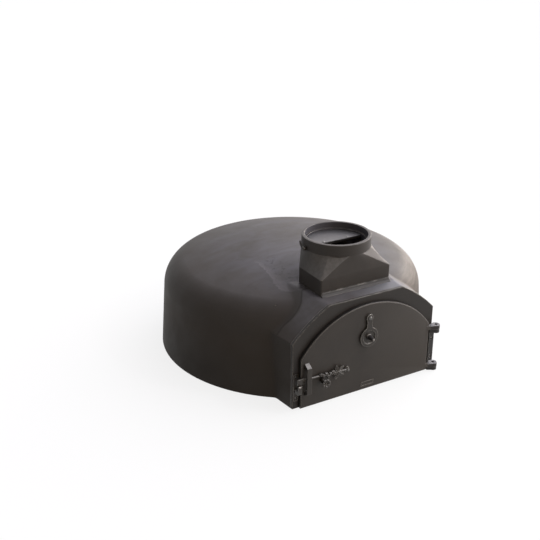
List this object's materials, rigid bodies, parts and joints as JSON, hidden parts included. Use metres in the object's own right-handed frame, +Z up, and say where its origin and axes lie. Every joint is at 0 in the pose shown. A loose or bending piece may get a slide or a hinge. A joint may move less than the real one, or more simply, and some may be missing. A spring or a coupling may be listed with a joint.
{
  "type": "pizza oven",
  "caption": "Low dome wood-fired pizza oven with an arched hinged door, gravity latch, air vent and a square-to-round flue hood with a damper.",
  "frame": {"origin": "on the dome's vertical axis, at the underside that stands on the support", "axes": "+Z up along the dome's axis, -Y out of the door, +X to the right seen from the front, hinge side"},
  "size_m": [0.92, 0.956, 0.471],
  "materials": {
    "casing_paint": "satin heat-proof paint",
    "cast_iron_paint": "satin heat-proof paint on cast iron",
    "bare_steel": "dark oiled steel",
    "sheet_steel": "black primer",
    "firebrick": "matt",
    "refractory": "matt",
    "fibre": "matt",
    "fire_cement": "matt"
  },
  "bodies": {
    "oven": {"base_plate": "sheet_steel", "floor_board": "fibre", "hearth_tiles": "firebrick", "mouth_tile": "firebrick", "landing_slab": "firebrick", "vault_left": "refractory", "vault_right": "refractory", "vestibule_arch": "refractory", "insulation_blanket": "fibre", "outer_casing": "casing_paint", "front_frame": "cast_iron_paint", "flue_hood": "cast_iron_paint", "hood_seam": "fire_cement", "hinge_bracket": "cast_iron_paint", "hinge_pins": "bare_steel", "hinge_screws": "bare_steel", "latch_keeper": "cast_iron_paint", "keeper_screws": "bare_steel"},
    "door": {"door_panel": "cast_iron_paint", "latch_guide": "cast_iron_paint", "guide_screws": "bare_steel", "latch_pivot": "bare_steel", "vent_rivet": "bare_steel"},
    "latch": {"latch_lever": "cast_iron_paint"},
    "vent": {"vent_cover": "cast_iron_paint", "vent_knob": "bare_steel"},
    "damper": {"damper_flap": "sheet_steel", "damper_shaft": "bare_steel", "damper_lever": "cast_iron_paint", "damper_screws": "bare_steel"}
  },
  "joints": [
    {"name": "door_swing", "type": "hinge", "parent": "oven", "child": "door", "pos_m": [0.271, -0.467, 0.08], "axis": [0, 0, 1], "range_deg": [0, 150]},
    {"name": "latch_lift", "type": "hinge", "parent": "door", "child": "latch", "pos_m": [-0.079, -0.4725, 0.098], "axis": [0, 1, 0], "range_deg": [-4.5, 9]},
    {"name": "vent_swing", "type": "hinge", "parent": "door", "child": "vent", "pos_m": [0, -0.46975, 0.256], "axis": [0, 1, 0], "range_deg": [-100, 100]},
    {"name": "damper_turn", "type": "hinge", "parent": "oven", "child": "damper", "pos_m": [0, -0.268, 0.44], "axis": [1, 0, 0], "range_deg": [0, 80]}
  ]
}
